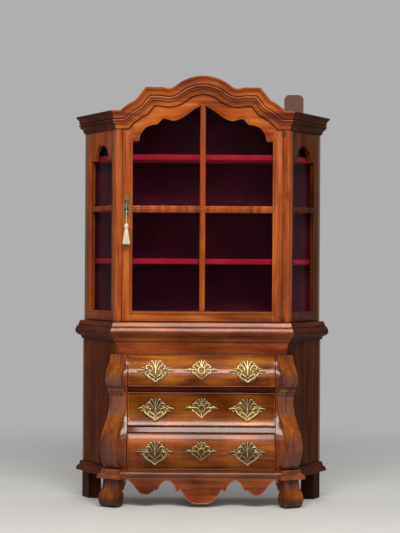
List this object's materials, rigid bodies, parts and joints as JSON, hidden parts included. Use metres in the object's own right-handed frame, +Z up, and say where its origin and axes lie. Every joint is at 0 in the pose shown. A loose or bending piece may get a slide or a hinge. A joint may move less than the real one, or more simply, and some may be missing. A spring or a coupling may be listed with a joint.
{
  "type": "china display cabinet",
  "caption": "Glazed china cabinet: arched moulded pediment, barred door and canted glass sides, on a swelled chest of drawers with corner scrolls and scroll feet.",
  "frame": {"origin": "centre of the bounding box at floor level", "axes": "+Z up, the front faces -Y, the flat back faces +Y"},
  "size_m": [1.0558, 0.3328, 1.7172],
  "materials": {
    "front_wood": "polished red-brown hardwood",
    "side_wood": "polished dark red-brown hardwood",
    "inner_wood": "plain wood",
    "brass": "cast and pierced, softly polished",
    "velvet": "crimson cloth over wood",
    "glass": "clear",
    "ivory_thread": "silk thread",
    "lock_steel": "worn"
  },
  "bodies": {
    "cabinet": {"left_lower_side": "side_wood", "right_lower_side": "side_wood", "front_frame": "front_wood", "upper_drawer_divider": "front_wood", "lower_drawer_divider": "front_wood", "left_truss": "front_wood", "right_truss": "front_wood", "waist_moulding": "front_wood", "base_board": "inner_wood", "plinth_moulding": "front_wood", "apron": "front_wood", "left_front_foot": "front_wood", "left_rear_foot": "side_wood", "right_front_foot": "front_wood", "right_rear_foot": "side_wood", "lower_back": "inner_wood", "upper_back": "inner_wood", "upper_front_frame": "front_wood", "left_side_frame": "side_wood", "left_side_glass": "glass", "right_side_frame": "side_wood", "right_side_glass": "glass", "roof_board": "side_wood", "upper_floor": "front_wood", "lower_shelf": "velvet", "middle_shelf": "velvet", "upper_shelf": "velvet", "rear_upstand": "side_wood", "pediment_cornice": "front_wood", "lower_door_hinge": "brass", "upper_door_hinge": "brass"},
    "door": {"door_frame": "front_wood", "door_glass": "glass", "door_escutcheon": "brass", "door_lock": "lock_steel"},
    "lock_bolt": {"lock_bolt": "brass"},
    "key": {"door_key": "lock_steel"},
    "tassel": {"key_cord": "ivory_thread", "key_tassel": "ivory_thread"},
    "top_drawer": {"top_drawer_front": "front_wood", "top_drawer_box": "inner_wood", "top_left_plate": "brass", "top_right_plate": "brass", "top_keyhole_plate": "brass"},
    "top_left_bail": {"top_left_bail": "brass"},
    "top_right_bail": {"top_right_bail": "brass"},
    "middle_drawer": {"middle_drawer_front": "front_wood", "middle_drawer_box": "inner_wood", "middle_left_plate": "brass", "middle_right_plate": "brass", "middle_keyhole_plate": "brass"},
    "middle_left_bail": {"middle_left_bail": "brass"},
    "middle_right_bail": {"middle_right_bail": "brass"},
    "bottom_drawer": {"bottom_drawer_front": "front_wood", "bottom_drawer_box": "inner_wood", "bottom_left_plate": "brass", "bottom_right_plate": "brass", "bottom_keyhole_plate": "brass"},
    "bottom_left_bail": {"bottom_left_bail": "brass"},
    "bottom_right_bail": {"bottom_right_bail": "brass"}
  },
  "joints": [
    {"name": "door_swing", "type": "hinge", "parent": "cabinet", "child": "door", "pos_m": [0.3224, -0.08812, 0.737], "axis": [0, 0, 1], "range_deg": [0, 110]},
    {"name": "key_turn", "type": "hinge", "parent": "door", "child": "key", "pos_m": [-0.3035, -0.10512, 1.193], "axis": [0, 1, 0], "range_deg": [0, 90]},
    {"name": "lock_bolt_slide", "type": "slide", "parent": "door", "child": "lock_bolt", "axis": [-1, 0, 0], "range_m": [0, 0.008]},
    {"name": "tassel_hang", "type": "hinge", "parent": "key", "child": "tassel", "pos_m": [-0.3035, -0.10512, 1.1845], "axis": [0, 1, 0], "range_deg": [-90, 0]},
    {"name": "top_drawer_slide", "type": "slide", "parent": "cabinet", "child": "top_drawer", "axis": [0, -1, 0], "range_m": [0, 0.17]},
    {"name": "top_left_bail_swing", "type": "hinge", "parent": "top_drawer", "child": "top_left_bail", "pos_m": [-0.183, -0.11844, 0.54948], "axis": [-1, 0, 0], "range_deg": [0, 80]},
    {"name": "top_right_bail_swing", "type": "hinge", "parent": "top_drawer", "child": "top_right_bail", "pos_m": [0.183, -0.11844, 0.54948], "axis": [-1, 0, 0], "range_deg": [0, 80]},
    {"name": "middle_drawer_slide", "type": "slide", "parent": "cabinet", "child": "middle_drawer", "axis": [0, -1, 0], "range_m": [0, 0.17]},
    {"name": "middle_left_bail_swing", "type": "hinge", "parent": "middle_drawer", "child": "middle_left_bail", "pos_m": [-0.183, -0.10456, 0.39415], "axis": [-1, 0, 0], "range_deg": [0, 80]},
    {"name": "middle_right_bail_swing", "type": "hinge", "parent": "middle_drawer", "child": "middle_right_bail", "pos_m": [0.183, -0.10456, 0.39415], "axis": [-1, 0, 0], "range_deg": [0, 80]},
    {"name": "bottom_drawer_slide", "type": "slide", "parent": "cabinet", "child": "bottom_drawer", "axis": [0, -1, 0], "range_m": [0, 0.17]},
    {"name": "bottom_left_bail_swing", "type": "hinge", "parent": "bottom_drawer", "child": "bottom_left_bail", "pos_m": [-0.183, -0.16166, 0.22491], "axis": [-1, 0, 0], "range_deg": [0, 80]},
    {"name": "bottom_right_bail_swing", "type": "hinge", "parent": "bottom_drawer", "child": "bottom_right_bail", "pos_m": [0.183, -0.16166, 0.22491], "axis": [-1, 0, 0], "range_deg": [0, 80]}
  ],
  "couplings": [
    {"joint": "lock_bolt_slide", "follows": "key_turn", "m_per_rad": 0.00509},
    {"joint": "tassel_hang", "follows": "key_turn", "ratio": -1}
  ]
}
